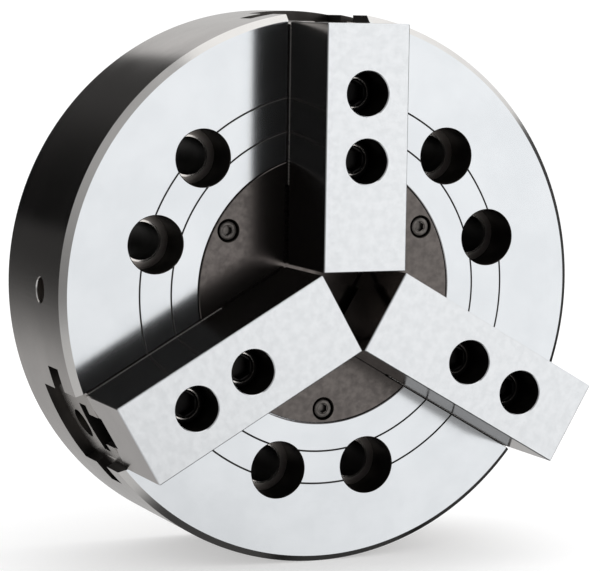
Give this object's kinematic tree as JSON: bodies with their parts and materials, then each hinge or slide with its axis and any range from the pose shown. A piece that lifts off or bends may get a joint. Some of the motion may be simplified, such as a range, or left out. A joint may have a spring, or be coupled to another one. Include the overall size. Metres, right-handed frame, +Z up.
{
  "type": "lathe chuck",
  "caption": "Round power chuck with radial jaws driven by a sliding wedge plunger, bolted top jaws and a flush centre cover; grips work on a lathe spindle.",
  "frame": {"origin": "centre of the rear face, on the spindle axis", "axes": "+Y along the spindle axis towards the headstock, so the jaws face -Y; +Z up through jaw 1; +X to the right seen from the front"},
  "size_m": [0.254, 0.1237, 0.254],
  "materials": {
    "ground_steel": "ground",
    "milled_steel": "milled",
    "dark_cover": "dark oiled, matt",
    "black_steel": "black oxide",
    "jaw_steel": "hardened and ground",
    "hardened_steel": "hardened, dark grey",
    "bright_steel": "polished",
    "brass": "satin"
  },
  "bodies": {
    "chuck": {"chuck_body": "ground_steel", "centre_cover": "dark_cover", "cover_screw_1": "black_steel", "cover_screw_2": "black_steel", "cover_screw_3": "black_steel"},
    "wedge_plunger": {"plunger": "hardened_steel", "screw_retaining_ring": "hardened_steel", "detent_spring": "bright_steel", "detent_set_screw": "black_steel"},
    "draw_screw": {"draw_screw": "black_steel"},
    "detent_ball": {"detent_ball": "bright_steel"},
    "jaw_1": {"master_jaw_1": "jaw_steel", "top_jaw_1": "milled_steel", "t_nut_1": "hardened_steel", "grease_nipple_1": "brass", "jaw_bolt_1_inner": "black_steel", "jaw_bolt_1_outer": "black_steel"},
    "jaw_2": {"master_jaw_2": "jaw_steel", "top_jaw_2": "milled_steel", "t_nut_2": "hardened_steel", "grease_nipple_2": "brass", "jaw_bolt_2_inner": "black_steel", "jaw_bolt_2_outer": "black_steel"},
    "jaw_3": {"master_jaw_3": "jaw_steel", "top_jaw_3": "milled_steel", "t_nut_3": "hardened_steel", "grease_nipple_3": "brass", "jaw_bolt_3_inner": "black_steel", "jaw_bolt_3_outer": "black_steel"}
  },
  "joints": [
    {"name": "plunger_slide", "type": "slide", "parent": "chuck", "child": "wedge_plunger", "axis": [0, -1, 0], "range_m": [0, 0.019]},
    {"name": "jaw_1_slide", "type": "slide", "parent": "chuck", "child": "jaw_1", "axis": [0, 0, 1], "range_m": [0, 0.0044]},
    {"name": "jaw_2_slide", "type": "slide", "parent": "chuck", "child": "jaw_2", "axis": [0.866, 0, -0.5], "range_m": [0, 0.0044]},
    {"name": "jaw_3_slide", "type": "slide", "parent": "chuck", "child": "jaw_3", "axis": [-0.866, 0, -0.5], "range_m": [0, 0.0044]},
    {"name": "draw_screw_turn", "type": "hinge", "parent": "wedge_plunger", "child": "draw_screw", "pos_m": [0, -0.03, 0], "axis": [0, -1, 0], "continuous": true},
    {"name": "detent_ball_press", "type": "slide", "parent": "wedge_plunger", "child": "detent_ball", "axis": [0, 0, -1], "range_m": [0, 0.0006], "stiffness_N_per_m": 1000, "springref_m": -0.002, "deforming": ["detent_spring"]}
  ],
  "couplings": [
    {"joint": "jaw_1_slide", "follows": "plunger_slide", "ratio": 0.23158},
    {"joint": "jaw_2_slide", "follows": "plunger_slide", "ratio": 0.23158},
    {"joint": "jaw_3_slide", "follows": "plunger_slide", "ratio": 0.23158}
  ]
}
